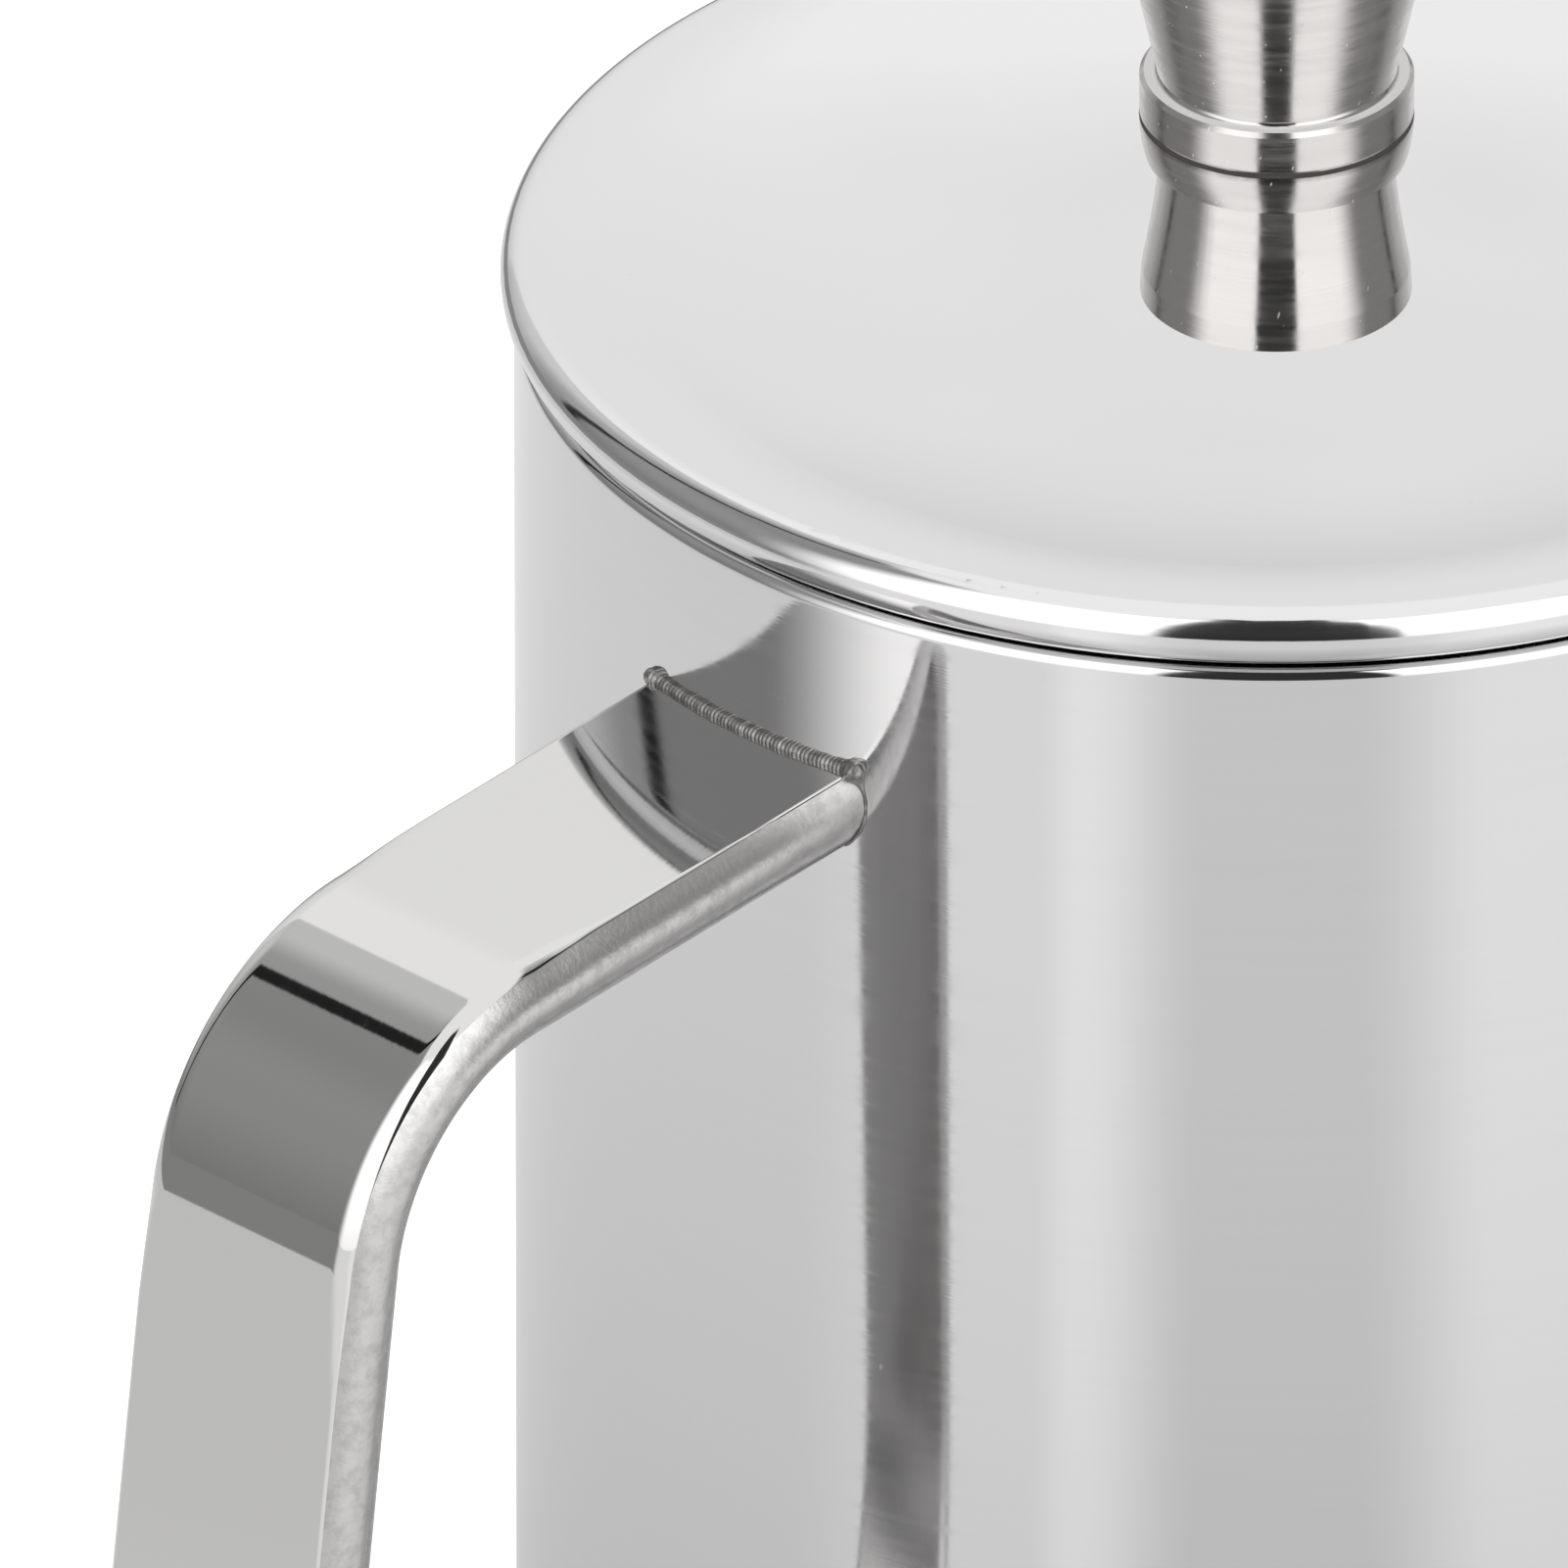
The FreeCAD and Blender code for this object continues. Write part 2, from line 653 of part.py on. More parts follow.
os.makedirs("parts", exist_ok=True)
for piece in PIECES:
    shape = piece()
    shape.exportStep("parts/" + piece.__name__ + ".step")
    print(piece.__name__, len(shape.Solids), round(shape.Volume, 1), shape.isValid())
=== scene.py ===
import math

import bmesh
import bpy
import numpy as np
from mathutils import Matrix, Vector


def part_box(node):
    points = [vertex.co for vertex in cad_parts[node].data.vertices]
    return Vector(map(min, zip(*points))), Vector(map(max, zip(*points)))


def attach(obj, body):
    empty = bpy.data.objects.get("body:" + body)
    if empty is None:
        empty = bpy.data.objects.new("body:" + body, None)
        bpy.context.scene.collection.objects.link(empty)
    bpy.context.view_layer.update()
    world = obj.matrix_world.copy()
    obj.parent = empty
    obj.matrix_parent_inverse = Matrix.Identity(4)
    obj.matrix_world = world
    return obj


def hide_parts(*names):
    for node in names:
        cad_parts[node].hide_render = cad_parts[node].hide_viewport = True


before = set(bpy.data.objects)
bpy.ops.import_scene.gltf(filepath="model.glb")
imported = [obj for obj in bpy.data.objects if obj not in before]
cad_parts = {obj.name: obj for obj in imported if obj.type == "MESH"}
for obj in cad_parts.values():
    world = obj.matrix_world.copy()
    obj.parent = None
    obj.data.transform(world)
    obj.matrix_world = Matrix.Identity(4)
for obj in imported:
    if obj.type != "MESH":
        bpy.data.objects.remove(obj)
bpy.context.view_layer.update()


# ---------------------------------------------------------------------------
# Outer wall of the pot: a drawn stainless tube with a flat disc in its foot,
# polished nearly to a mirror.  The buffing wheel ran round it and left fine
# lines round the pot, a few hairlines and specks.

def socket_value(node, **values):
    """Sets named input sockets of a node; underscores stand for spaces."""
    for name, value in values.items():
        node.inputs[name.replace("_", " ")].default_value = value
    return node


def math_node(tree, operation, first, second=0.0, third=0.0):
    """A Math node whose inputs are sockets or plain numbers; gives its output socket."""
    node = tree.nodes.new("ShaderNodeMath")
    node.operation = operation
    for slot, value in zip(node.inputs, (first, second, third)):
        if isinstance(value, bpy.types.NodeSocket):
            tree.links.new(value, slot)
        else:
            slot.default_value = value
    return node.outputs[0]


def smooth_step(tree, value, low, high, at_low=0.0, at_high=1.0):
    """Map Range on a smooth step: at_low below low, at_high above high."""
    node = tree.nodes.new("ShaderNodeMapRange")
    node.interpolation_type = "SMOOTHSTEP"
    socket_value(node, From_Min=low, From_Max=high, To_Min=at_low, To_Max=at_high)
    tree.links.new(value, node.inputs["Value"])
    return node.outputs["Result"]


def joined(tree, x, y, z):
    """Combine XYZ of sockets or plain numbers."""
    node = tree.nodes.new("ShaderNodeCombineXYZ")
    for slot, value in zip(node.inputs, (x, y, z)):
        if isinstance(value, bpy.types.NodeSocket):
            tree.links.new(value, slot)
        else:
            slot.default_value = value
    return node.outputs[0]


def noise_at(tree, vector, scale, detail, roughness=0.6):
    """Noise read at a vector, from 0 to 1."""
    node = tree.nodes.new("ShaderNodeTexNoise")
    socket_value(node, Scale=scale, Detail=detail, Roughness=roughness)
    tree.links.new(vector, node.inputs["Vector"])
    return node.outputs["Fac"]


def object_place(tree):
    """Object coordinates, as a vector and as its x, y and z sockets."""
    place = tree.nodes.new("ShaderNodeTexCoord").outputs["Object"]
    split = tree.nodes.new("ShaderNodeSeparateXYZ")
    tree.links.new(place, split.inputs[0])
    return (place, *split.outputs)


def axis_distance(tree, x, y):
    """Distance from the Z axis, never quite zero."""
    square = math_node(tree, "ADD", math_node(tree, "MULTIPLY", x, x), math_node(tree, "MULTIPLY", y, y))
    return math_node(tree, "MAXIMUM", math_node(tree, "SQRT", square), 1e-4)


def new_group(name, inputs, outputs):
    """An empty node group with float inputs (name, default) and float outputs."""
    group = bpy.data.node_groups.new(name, "ShaderNodeTree")
    for label, default in inputs:
        item = group.interface.new_socket(name=label, in_out="INPUT", socket_type="NodeSocketFloat")
        item.default_value = default
    for label in outputs:
        group.interface.new_socket(name=label, in_out="OUTPUT", socket_type="NodeSocketFloat")
    return group, group.nodes.new("NodeGroupInput").outputs, group.nodes.new("NodeGroupOutput").inputs


def make_turned_lines():
    """Group: lines round the pot's axis, from noise that is fine across them and long along them.

    The noise is read at (x/r, y/r) * Wander and (Along Z * z + Along R * r) * Fineness.
    """
    group, given, gives = new_group(
        "turned_lines", (("Fineness", 4000.0), ("Wander", 3.0), ("Along Z", 1.0), ("Along R", 1.0)),
        ("Lines", "Bands"))
    place, x, y, z = object_place(group)
    radius = axis_distance(group, x, y)
    across = math_node(group, "MULTIPLY", z, given["Along Z"])
    across = math_node(group, "MULTIPLY_ADD", radius, given["Along R"], across)
    round_x = math_node(group, "MULTIPLY", math_node(group, "DIVIDE", x, radius), given["Wander"])
    round_y = math_node(group, "MULTIPLY", math_node(group, "DIVIDE", y, radius), given["Wander"])
    for name, coarseness, detail in (("Lines", 1.0, 2.0), ("Bands", 0.12, 3.0)):
        fine = math_node(group, "MULTIPLY", given["Fineness"], coarseness)
        vector = joined(group, round_x, round_y, math_node(group, "MULTIPLY", across, fine))
        group.links.new(noise_at(group, vector, 1.0, detail), gives[name])
    return group


def make_nicks():
    """Group: short strokes and specks, few and far apart.

    Cells of a Voronoi pattern on stretched and turned coordinates; a stroke is the middle of a
    cell whose own random colour is above 1 - Share.
    """
    group, given, gives = new_group(
        "nicks", (("Size", 0.0006), ("Stretch", 5.0), ("Share", 0.15), ("Thickness", 0.1)), ("Mask",))
    place, x, y, z = object_place(group)
    lean = 0.45
    along = math_node(group, "MULTIPLY_ADD", x, lean, z)
    aside = math_node(group, "MULTIPLY_ADD", z, -lean, x)
    size = given["Size"]
    stretched = math_node(group, "MULTIPLY", size, given["Stretch"])
    vector = joined(group, math_node(group, "DIVIDE", aside, size), math_node(group, "DIVIDE", y, size),
                    math_node(group, "DIVIDE", along, stretched))
    cells = socket_value(group.nodes.new("ShaderNodeTexVoronoi"), Scale=0.25)
    group.links.new(vector, cells.inputs["Vector"])
    split = group.nodes.new("ShaderNodeSeparateColor")
    group.links.new(cells.outputs["Color"], split.inputs[0])
    passed_over = math_node(group, "SUBTRACT", 1.0, given["Share"])
    chosen = math_node(group, "GREATER_THAN", split.outputs[0], passed_over)
    inside = math_node(group, "LESS_THAN", cells.outputs["Distance"], given["Thickness"])
    group.links.new(math_node(group, "MULTIPLY", chosen, inside), gives["Mask"])
    return group


turned_lines = make_turned_lines()
nicks = make_nicks()


def new_material(name, color, roughness, metallic=1.0):
    """A Principled metal; gives the material, its tree and its shader node."""
    material = bpy.data.materials.new(name)
    material.use_nodes = True
    tree = material.node_tree
    shader = tree.nodes["Principled BSDF"]
    socket_value(shader, Base_Color=(*color, 1.0), Roughness=roughness, Metallic=metallic)
    return material, tree, shader


def add_group(tree, group, **values):
    """Places a node group with its own values."""
    node = tree.nodes.new("ShaderNodeGroup")
    node.node_tree = group
    return socket_value(node, **values)


def add_bump(tree, shader, height, distance, strength):
    """Bumps the shader's normal by a height of the given distance in metres."""
    bump = socket_value(tree.nodes.new("ShaderNodeBump"), Strength=strength, Distance=distance)
    tree.links.new(height, bump.inputs["Height"])
    tree.links.new(bump.outputs["Normal"], shader.inputs["Normal"])


def around_axis(tree, shader, amount):
    """Stretches the gloss across the lines that run round the Z axis."""
    tangent = tree.nodes.new("ShaderNodeTangent")
    tangent.direction_type = "RADIAL"
    tangent.axis = "Z"
    tree.links.new(tangent.outputs[0], shader.inputs["Tangent"])
    socket_value(shader, Anisotropic=amount, Anisotropic_Rotation=0.25)


def tinted(tree, shader, mask, plain, marked):
    """Base colour that goes from plain to marked with the mask."""
    mix = tree.nodes.new("ShaderNodeMix")
    mix.data_type = "RGBA"
    tree.links.new(mask, mix.inputs["Factor"])
    mix.inputs["A"].default_value = (*plain, 1.0)
    mix.inputs["B"].default_value = (*marked, 1.0)
    tree.links.new(mix.outputs["Result"], shader.inputs["Base Color"])
    return mix


def wear(material, *nodes):
    """Gives CAD nodes their material."""
    for name in nodes:
        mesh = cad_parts[name].data
        mesh.materials.clear()
        mesh.materials.append(material)


def polish(material_name, color, low, high, wander=2.5, along_r=0.0, bump=0.25, amount=0.6):
    """Buffed steel: fine lines round the axis, streaks of duller gloss and a few nicks."""
    material, tree, shader = new_material(material_name, color, low)
    lines = add_group(tree, turned_lines, Fineness=9000.0, Wander=wander, Along_R=along_r)
    dull = smooth_step(tree, lines.outputs["Bands"], 0.35, 0.7, low, high)
    scratch = add_group(tree, nicks, Size=0.0011, Stretch=7.0, Share=0.05, Thickness=0.05)
    marks = scratch.outputs["Mask"]
    tree.links.new(math_node(tree, "MULTIPLY_ADD", marks, 0.15, dull), shader.inputs["Roughness"])
    height = math_node(tree, "MULTIPLY_ADD", marks, -0.5, lines.outputs["Lines"])
    add_bump(tree, shader, height, 0.00001, bump)
    around_axis(tree, shader, amount)
    return material, tree, shader


polished_wall, tree, shader = polish("polished_wall", (0.69, 0.685, 0.69), 0.06, 0.11)
wear(polished_wall, "outer_shell")

# ---------------------------------------------------------------------------
# Beaker: the inner wall, drawn from one sheet and rolled over the outer wall
# at the rim, with a notch cut for the spout.  Its inside is satin.

pot_radius = -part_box("outer_shell")[0].x
rim_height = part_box("inner_shell")[1].z
sheet = 0.0007
beaker_radius = 0.049
rolled_radius = (pot_radius - beaker_radius) / 2
rolled_centre = (pot_radius - rolled_radius, rim_height - rolled_radius)
rim_slope = math.radians(12.0)
rim_edge_radius = 0.0009
inner_floor = 0.009
floor_corner = 0.006
satin_low, satin_high = rim_height - 0.007, rim_height - 0.004
notch_depth = 0.026
notch_root = 0.0052                  # from the beaker's wall in to the notch's root
notch_half = (0.0018, 0.01415)       # at the notch's foot, and its gain up to the rim
tip_round = (0.0012, 0.0028)         # likewise
beak_reach = (0.0008, 0.0152)        # likewise, past the outer wall
row_gap = 0.0002


def arc_points(centre, radius, start, end, steps):
    """Points (r, z) on a circle about centre, from start to end in degrees."""
    angle = np.radians(np.linspace(start, end, steps))
    return np.c_[centre[0] + radius * np.cos(angle), centre[1] + radius * np.sin(angle)]


def beaker_profile(inset):
    """Half outline of the beaker's sheet: floor, corner, wall and rolled rim, moved out by inset.

    The rim is an arc from the wall to its crest, a straight fall and a tighter arc at its edge; both
    arcs touch the fall.
    """
    corner = (beaker_radius - floor_corner, inner_floor + floor_corner)
    low = arc_points(corner, floor_corner + inset, -90, 0, 10)
    wall_rows = np.linspace(corner[1], rim_height - notch_depth, 8)[1:]
    notch_rows = np.linspace(rim_height - notch_depth, rolled_centre[1], 26)[1:-1]
    heights = np.concatenate([wall_rows[:-1], [wall_rows[-1] - row_gap], wall_rows[-1:], notch_rows])
    wall = np.c_[np.full(len(heights), beaker_radius + inset), heights]
    turn = 90 - math.degrees(rim_slope)
    rim = arc_points(rolled_centre, rolled_radius - inset, 180, turn, 29)
    crest = arc_points(rolled_centre, rolled_radius, turn, turn, 1)[0]
    across = pot_radius - rim_edge_radius - crest[0]
    fall = rim_edge_radius / math.cos(rim_slope) + across * math.tan(rim_slope)
    edge_centre = crest + (across, -fall)
    edge = arc_points(edge_centre, rim_edge_radius - inset, turn, 0, 21)
    end = [(pot_radius - inset, rolled_centre[1])]
    return np.concatenate([[(0.0, inner_floor - inset)], low, wall, rim, edge, end])


def notch_edge(radius, height):
    """Bearing of the notch's side at each radius and height.

    The side is a line at the distance d = n.c + t from the axis, tangent to a round tip of radius t
    about c; a circle of the radius r meets it at the bearing of n less acos(d / r).
    """
    t = np.maximum((height - rim_height + notch_depth) / notch_depth, 0.0)
    half = notch_half[0] + t * notch_half[1]
    tip_radius = tip_round[0] + t * tip_round[1]
    centre = pot_radius + beak_reach[0] + t * beak_reach[1] - tip_radius
    back = beaker_radius - notch_root - centre
    turn = np.arctan2(half, back) - np.arccos(tip_radius / np.hypot(back, half))
    reach = centre * np.cos(turn) + tip_radius
    bearing = turn - np.arccos(np.minimum(reach / np.maximum(radius, reach), 1.0))
    return np.where(height >= rim_height - notch_depth - 1e-6, np.maximum(bearing, 0.0), 0.0)


def add_piece(name, points, faces, body, material, replaced):
    """Mesh object of points and faces with smooth shading; doubles at seams and poles merged."""
    mesh = bpy.data.meshes.new(name)
    mesh.from_pydata(np.asarray(points).reshape(-1, 3), [], np.asarray(faces).reshape(-1, 4).tolist())
    work = bmesh.new()
    work.from_mesh(mesh)
    bmesh.ops.remove_doubles(work, verts=work.verts, dist=1e-7)
    bmesh.ops.recalc_face_normals(work, faces=work.faces)
    work.to_mesh(mesh)
    work.free()
    mesh.polygons.foreach_set("use_smooth", np.ones(len(mesh.polygons), bool))
    mesh.set_sharp_from_angle(angle=math.radians(40))
    mesh.materials.append(material)
    piece = bpy.data.objects.new(name, mesh)
    bpy.context.scene.collection.objects.link(piece)
    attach(piece, body)
    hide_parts(replaced)


def grid_faces(rows, columns, wrap_rows=False, wrap_columns=False):
    """Quads between neighbours of a grid of points, with either way closed on itself."""
    i = np.arange(rows if wrap_rows else rows - 1)[:, None]
    j = np.arange(columns if wrap_columns else columns - 1)[None, :]
    after, beside = (i + 1) % rows, (j + 1) % columns
    parts = (i * columns + j, i * columns + beside, after * columns + beside, after * columns + j)
    return np.stack(np.broadcast_arrays(*parts), -1).reshape(-1, 4)


inner_wall, tree, shader = polish("inner_wall", (0.69, 0.685, 0.69), 0.06, 0.11)
place, x, y, z = object_place(tree)
satin = smooth_step(tree, z, satin_low, satin_high, 1.0, 0.0)
dull = shader.inputs["Roughness"].links[0].from_socket
tree.links.new(math_node(tree, "MULTIPLY_ADD", satin, 0.3, dull), shader.inputs["Roughness"])
tree.links.new(math_node(tree, "MULTIPLY_ADD", satin, -0.35, 1.0), shader.inputs["Metallic"])
inside, outside = beaker_profile(0.0), beaker_profile(sheet)[::-1]
profile = np.concatenate([inside, outside])
half_count = len(inside)
across = 361
edge = notch_edge(profile[:, 0], profile[:, 1])[:, None]
around = edge + (2 * math.pi - 2 * edge) * np.linspace(0, 1, across)[None, :]
points = np.stack([profile[:, :1] * np.cos(around), profile[:, :1] * np.sin(around),
                   np.broadcast_to(profile[:, 1:], around.shape)], -1)
faces = grid_faces(len(profile), across)
first_open = int(np.argmax(edge[:half_count, 0] > 0))
low = np.arange(first_open - 1, half_count - 1)
across_low = 2 * half_count - 1 - low
cap = np.stack([low, low + 1, across_low - 1, across_low], -1) * across
faces = np.concatenate([faces, cap, cap[:, ::-1] + across - 1])
add_piece("beaker", points, faces, "pot", inner_wall, "inner_shell")

# ---------------------------------------------------------------------------
# Foot of the pot: a spun steel disc that closes it, and the small plug that
# seals the air space between the two walls.

base_steel, tree, shader = polish("base_steel", (0.62, 0.615, 0.61), 0.16, 0.26, along_r=1.0, bump=0.4)
wear(base_steel, "base_plate", "base_vent_plug")

# ---------------------------------------------------------------------------
# Spout: a beak folded from steel sheet, let into a notch in both walls and
# welded round its edge.

spout_steel, tree, shader = polish("spout_steel", (0.68, 0.675, 0.67), 0.26, 0.36, bump=0.4, amount=0.2)
wear(spout_steel, "spout")

# ---------------------------------------------------------------------------
# Handle: a flat mirror-polished strip closes a pressed channel with round,
# finely blasted sides.  Both are bent to one route and welded to the pot.

handle_mirror, tree, shader = new_material("handle_mirror", (0.68, 0.675, 0.67), 0.05)
place, x, y, z = object_place(tree)
along, across = 40.0, 3000.0
brushed = [math_node(tree, "MULTIPLY", way, scale) for way, scale in ((x, along), (y, across), (z, along))]
streaks = noise_at(tree, joined(tree, *brushed), 1.0, 3.0)
clouds = noise_at(tree, place, 160.0, 2.0)
dull = math_node(tree, "MULTIPLY_ADD", clouds, 0.03, math_node(tree, "MULTIPLY", streaks, 0.05))
tree.links.new(dull, shader.inputs["Roughness"])
scratch = add_group(tree, nicks, Size=0.0009, Stretch=8.0, Share=0.05, Thickness=0.05)
height = math_node(tree, "MULTIPLY_ADD", scratch.outputs["Mask"], -0.5, streaks)
add_bump(tree, shader, height, 0.000004, 0.5)

blasted_side, tree, shader = new_material("blasted_side", (0.6, 0.592, 0.584), 0.24)
place, x, y, z = object_place(tree)
grain = noise_at(tree, place, 2600.0, 3.0, 0.7)
mottle = noise_at(tree, place, 900.0, 4.0, 0.65)
tree.links.new(smooth_step(tree, mottle, 0.35, 0.65, 0.2, 0.27), shader.inputs["Roughness"])
tinted(tree, shader, smooth_step(tree, mottle, 0.4, 0.7), (0.62, 0.612, 0.604), (0.52, 0.515, 0.51))
add_bump(tree, shader, math_node(tree, "MULTIPLY_ADD", mottle, 1.0, grain), 0.00003, 0.6)

strap_half = 0.00955
strap_thickness = 0.006
side_bulge = 0.0009
back_half = strap_half - 0.0007
strap_sheet = 0.0008
strap_bend = 0.021
top_drop, arm_reach, grip_drop = 0.0131, 0.0474, 0.092
top_slope, grip_lean, low_slope = (math.radians(degrees) for degrees in (4.6, 7.4, 14.0))
top_weld = np.array([-pot_radius, rim_height - top_drop])
top_corner = top_weld - [arm_reach, arm_reach * math.tan(top_slope)]
low_corner = top_corner - [grip_drop * math.tan(grip_lean), grip_drop]
low_weld = low_corner + (-pot_radius - low_corner[0]) * np.array([1.0, -math.tan(low_slope)])
edge_roll, bend_roll = 0.0003, 0.0012       # rounding of the strip's edge, and its gain at a bend
roll_depth = 0.32
edge_crowding = 1.6
bend_spread = 0.004
wall_overlap = 0.0002


def handle_route(arc_steps=61, run_steps=16):
    """The strap's face seen from the side: points (x, z), directions and nearness to a bend.

    Straight runs between the welds and the two corners, each corner rounded by a tangent arc; the
    nearness falls from 1 in an arc to 0 along the runs.
    """
    points, ways, bent = [], [], []
    here = top_weld
    for before, corner, after in ((top_weld, top_corner, low_corner), (top_corner, low_corner, low_weld)):
        back, on = (before - corner), (after - corner)
        back, on = back / np.linalg.norm(back), on / np.linalg.norm(on)
        half = math.acos(back @ on) / 2
        middle = (back + on) / np.linalg.norm(back + on)
        centre = corner + middle * strap_bend / math.sin(half)
        first = corner + back * strap_bend / math.tan(half)
        start = math.atan2(*(first - centre)[::-1])
        angle = start + (math.pi - 2 * half) * np.linspace(0, 1, arc_steps)
        along = np.linspace(0, 1, run_steps, endpoint=False)[:, None]
        points += [here + (first - here) * along, centre + strap_bend * np.c_[np.cos(angle), np.sin(angle)]]
        ways += [np.tile(-back, (run_steps, 1)), np.c_[-np.sin(angle), np.cos(angle)]]
        bent += [np.zeros(run_steps, bool), np.ones(arc_steps, bool)]
        here = points[-1][-1]
    along = np.linspace(0, 1, run_steps + 1)[1:, None]
    points = np.concatenate(points + [here + (low_weld - here) * along])
    ways = np.concatenate(ways + [np.tile(on, (run_steps, 1))])
    bent = np.concatenate(bent + [np.zeros(run_steps, bool)])
    off = np.linalg.norm(points[:, None] - points[bent][None], axis=-1).min(1)
    return points, ways, np.exp(-(off / bend_spread) ** 2)


def carried(u, v):
    """Points of a section (u across, v behind the face) at each place of the route.

    Point = route + v * the normal towards the strap's back, at the height u along Y; the first and
    last rows slide along the strap onto the pot's wall.
    """
    route, ways = handle_route()[:2]
    behind = np.c_[-ways[:, 1], ways[:, 0]]
    x, z = (route[:, k:k + 1] + behind[:, k:k + 1] * v for k in (0, 1))
    x, z, u = (np.array(np.broadcast_to(part, np.broadcast(x, u).shape)) for part in (x, z, u))
    for end in (0, -1):
        travel = (-np.sqrt((pot_radius - wall_overlap) ** 2 - u[end] ** 2) - x[end]) / ways[end, 0]
        x[end] += travel * ways[end, 0]
        z[end] += travel * ways[end, 1]
    return np.stack([x, u, z], -1)


def close_ends(faces, rows, columns):
    """Adds a fan-like strip of quads across each end of a closed section of even count."""
    k = np.arange(columns // 2 - 1)
    cap = np.stack([k, k + 1, columns - 2 - k, columns - 1 - k], -1)
    return np.concatenate([faces, cap, cap[:, ::-1] + (rows - 1) * columns])


nearness = handle_route()[2][:, None]
roll = edge_roll + bend_roll * nearness
drop = roll_depth * roll
across = np.linspace(-1, 1, 161)[None, :]
across = strap_half * np.sign(across) * (1 - (1 - np.abs(across)) ** edge_crowding)
past = np.maximum(np.abs(across) - strap_half + roll, 0.0) / roll
front = (across + 0 * roll, drop * past ** 2)
under = (across[:, ::-1] + 0 * roll, strap_sheet + 0 * past)
points = carried(*(np.concatenate(pair, 1) for pair in zip(front, under)))
faces = close_ends(grid_faces(*points.shape[:2], False, True), *points.shape[:2])
add_piece("handle_strip", points, faces, "pot", handle_mirror, "handle_face")

t = np.linspace(0, 1, 31)[None, :]
side_u = strap_half + (4 * side_bulge + strap_half - back_half) * t
side_u = side_u - (4 * side_bulge + 2 * (strap_half - back_half)) * t ** 2
side_v = drop + (strap_thickness - drop) * t
inner_u, inner_v = side_u - strap_sheet, strap_sheet + (strap_thickness - 2 * strap_sheet) * t
outer = (np.concatenate([side_u, -side_u[:, ::-1]], 1) + 0 * roll,
         np.concatenate([side_v, side_v[:, ::-1]], 1))
inner = (np.concatenate([-inner_u, inner_u[:, ::-1]], 1) + 0 * roll,
         np.concatenate([inner_v, inner_v[:, ::-1]], 1) + 0 * roll)
edge_u = np.full((1, 1), strap_half) + 0 * roll
rows_u = np.concatenate([edge_u, outer[0], -edge_u, inner[0]], 1)
rows_v = np.concatenate([strap_sheet + 0 * roll, outer[1], strap_sheet + 0 * roll, inner[1]], 1)
points = carried(rows_u, rows_v)
faces = close_ends(grid_faces(*points.shape[:2], False, True), *points.shape[:2])
add_piece("handle_channel_pressed", points, faces, "pot", blasted_side, "handle_channel")

# ---------------------------------------------------------------------------
# Weld beads: thin rippled fillets that run round the ends of the strap and
# swell at the corners of its face; heat has left them grey-brown.

weld_steel, tree, shader = new_material("weld_steel", (0.42, 0.41, 0.4), 0.24)
place, x, y, z = object_place(tree)
scale = noise_at(tree, place, 1500.0, 3.0)
tinted(tree, shader, smooth_step(tree, scale, 0.4, 0.7), (0.36, 0.355, 0.35), (0.2, 0.19, 0.18))
tree.links.new(smooth_step(tree, scale, 0.3, 0.7, 0.3, 0.45), shader.inputs["Roughness"])
add_bump(tree, shader, scale, 0.00005, 0.6)
wear(weld_steel, "spout_weld")

bead_ripple = 0.00034
bead_least, bead_gain, ripple_height = 0.00011, 0.0004, 0.00003
bead_stand_off = 0.15       # of its radius, out of the joint
face_edge = 0.0006
corner_swells = ((-1, 0.00032), (1, 0.0002))


def strap_outline(count):
    """Evenly spaced points round the strap's section: across u and behind v, with outward normals.

    The face and the back are straight; each side is the arc through its two edges and its bulge.
    """
    front, back = np.array([strap_half, 0.0]), np.array([back_half, strap_thickness])
    apex = np.array([strap_half + side_bulge, strap_thickness / 2])
    system = 2 * np.array([apex - front, back - front])
    centre = np.linalg.solve(system, [apex @ apex - front @ front, back @ back - front @ front])
    radius = np.linalg.norm(front - centre)
    start, end = (math.atan2(*(p - centre)[::-1]) for p in (front, back))
    angle = np.linspace(start, end, 60)
    side = centre + radius * np.c_[np.cos(angle), np.sin(angle)]
    flip = side[::-1] * (-1, 1)
    ring = np.concatenate([[(0.0, 0.0)], side, flip, [(0.0, 0.0)]])
    travelled = np.concatenate([[0.0], np.cumsum(np.linalg.norm(np.diff(ring, axis=0), axis=1))])
    along = np.linspace(0, travelled[-1], count, endpoint=False)
    u, v = (np.interp(along, travelled, ring[:, k]) for k in (0, 1))
    spread = 6
    ahead = np.roll(np.c_[u, v], -spread, 0) - np.roll(np.c_[u, v], spread, 0)
    normal = np.c_[ahead[:, 1], -ahead[:, 0]] / np.linalg.norm(ahead, axis=1)[:, None]
    return u, v, normal, along


